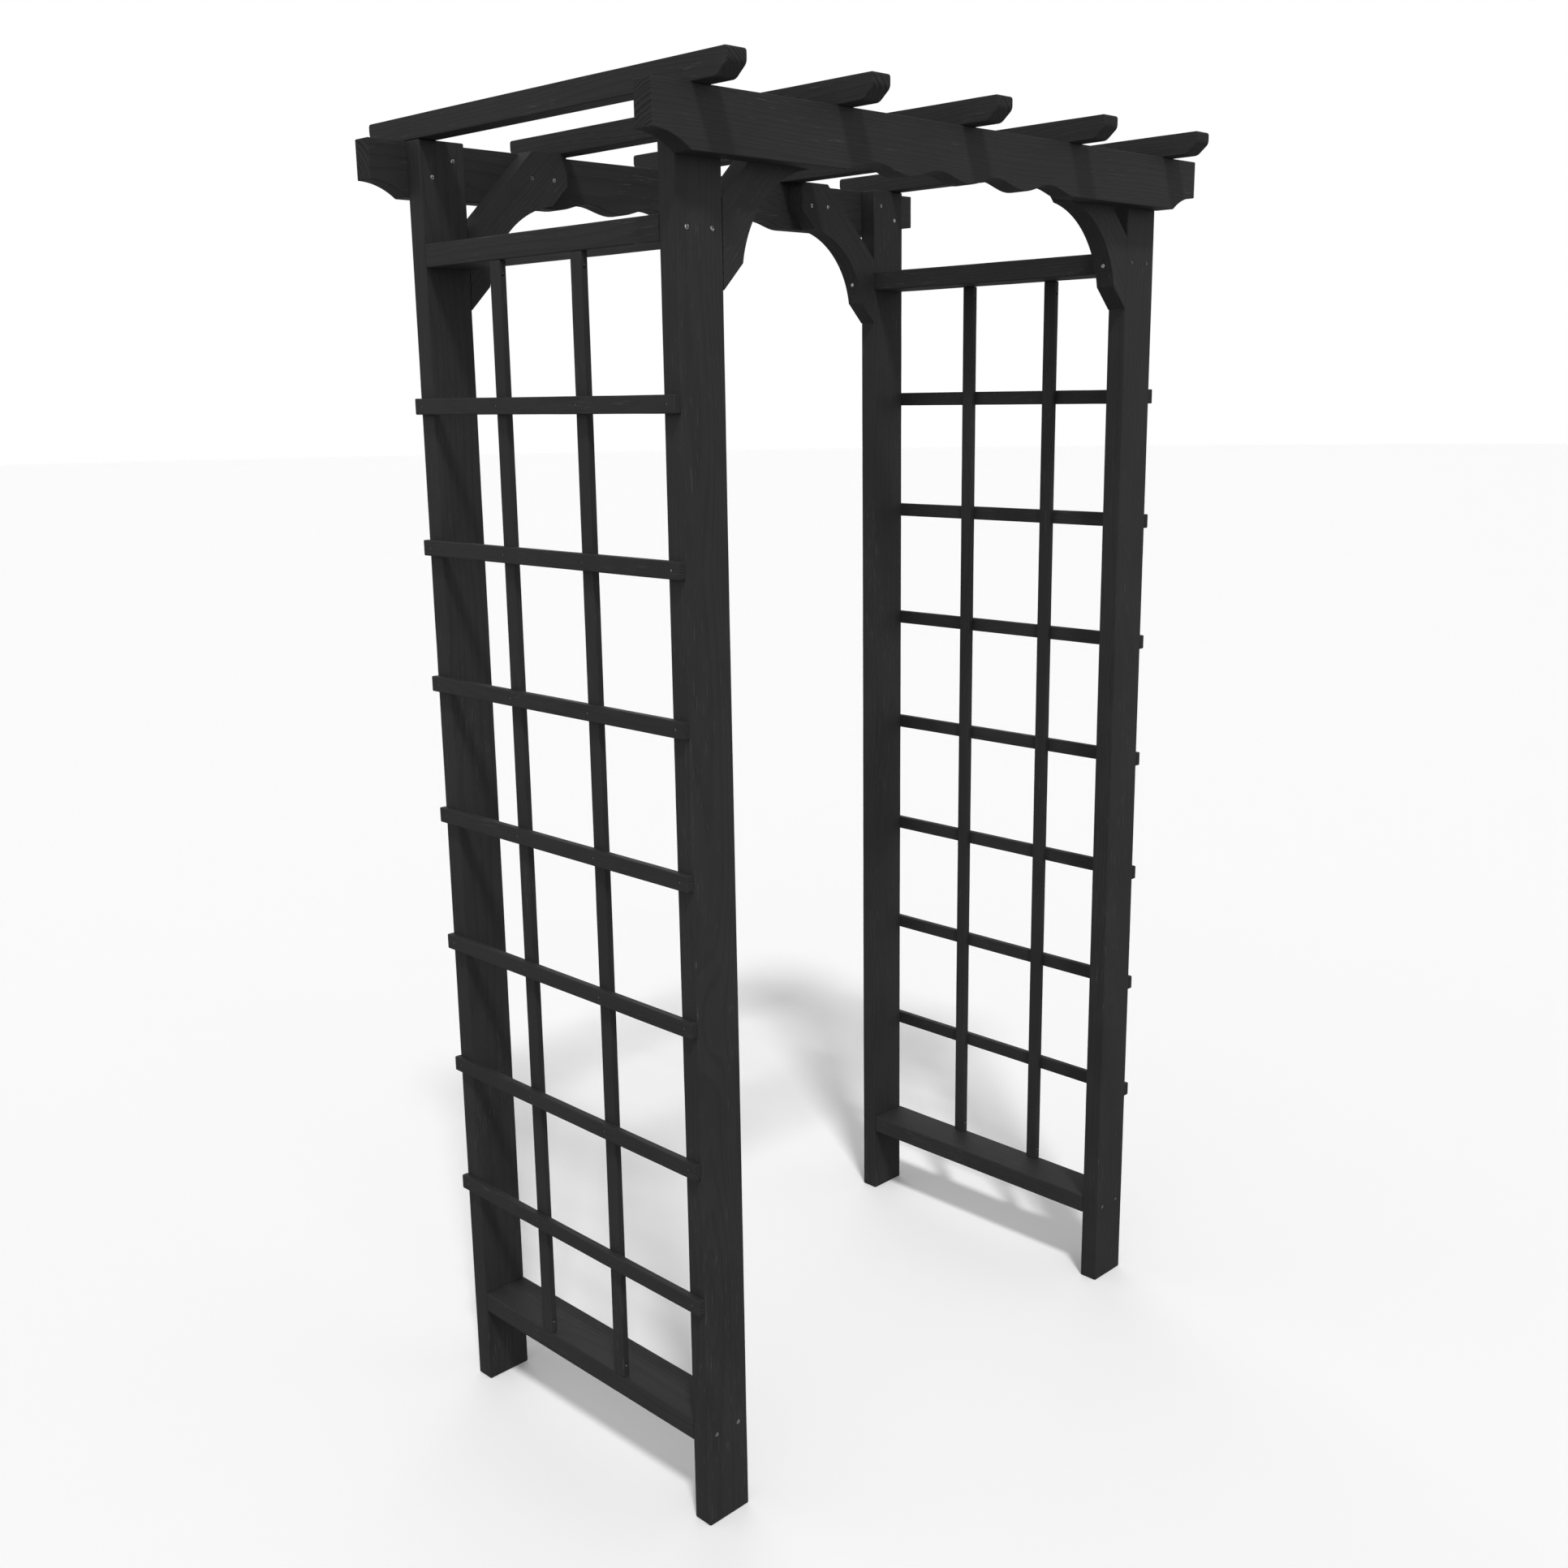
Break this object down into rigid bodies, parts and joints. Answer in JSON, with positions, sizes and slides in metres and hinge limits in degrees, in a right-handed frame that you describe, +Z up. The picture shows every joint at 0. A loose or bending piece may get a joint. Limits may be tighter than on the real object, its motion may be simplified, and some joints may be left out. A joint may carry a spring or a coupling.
{
  "type": "trellis arch",
  "caption": "Free-standing painted timber garden arch with lath trellis sides, scalloped beams, curved corner braces and rafters laid across the top.",
  "frame": {"origin": "on the ground, midway between the four posts", "axes": "+X across the walkway, +Y through the walkway from the front beam to the back beam, +Z up"},
  "size_m": [1.353, 0.89, 2.315],
  "materials": {
    "painted_timber": "satin black exterior paint over sawn and planed softwood, grain showing through",
    "painted_lath": "satin black exterior paint on thin softwood laths",
    "zinc_screw": "zinc plated countersunk wood screws",
    "zinc_nail": "galvanised flat-head nails"
  },
  "bodies": {
    "root": {"front_left_post": "painted_timber", "front_right_post": "painted_timber", "back_left_post": "painted_timber", "back_right_post": "painted_timber", "left_top_rail": "painted_timber", "left_bottom_rail": "painted_timber", "right_top_rail": "painted_timber", "right_bottom_rail": "painted_timber", "left_slat_1": "painted_lath", "left_slat_2": "painted_lath", "left_slat_3": "painted_lath", "left_slat_4": "painted_lath", "left_slat_5": "painted_lath", "left_slat_6": "painted_lath", "left_slat_7": "painted_lath", "right_slat_1": "painted_lath", "right_slat_2": "painted_lath", "right_slat_3": "painted_lath", "right_slat_4": "painted_lath", "right_slat_5": "painted_lath", "right_slat_6": "painted_lath", "right_slat_7": "painted_lath", "left_upright_1": "painted_lath", "left_upright_2": "painted_lath", "right_upright_1": "painted_lath", "right_upright_2": "painted_lath", "front_beam": "painted_timber", "back_beam": "painted_timber", "rafter_1": "painted_timber", "rafter_2": "painted_timber", "rafter_3": "painted_timber", "rafter_4": "painted_timber", "rafter_5": "painted_timber", "front_left_brace": "painted_timber", "front_right_brace": "painted_timber", "back_left_brace": "painted_timber", "back_right_brace": "painted_timber", "left_rail_screws": "zinc_screw", "left_slat_nails": "zinc_nail", "left_lath_nails": "zinc_nail", "left_toe_nails": "zinc_nail", "right_rail_screws": "zinc_screw", "right_slat_nails": "zinc_nail", "right_lath_nails": "zinc_nail", "right_toe_nails": "zinc_nail", "front_beam_screws": "zinc_screw", "back_beam_screws": "zinc_screw", "brace_head_screws": "zinc_screw", "brace_foot_screws": "zinc_screw", "rafter_screws": "zinc_screw"}
  },
  "joints": []
}
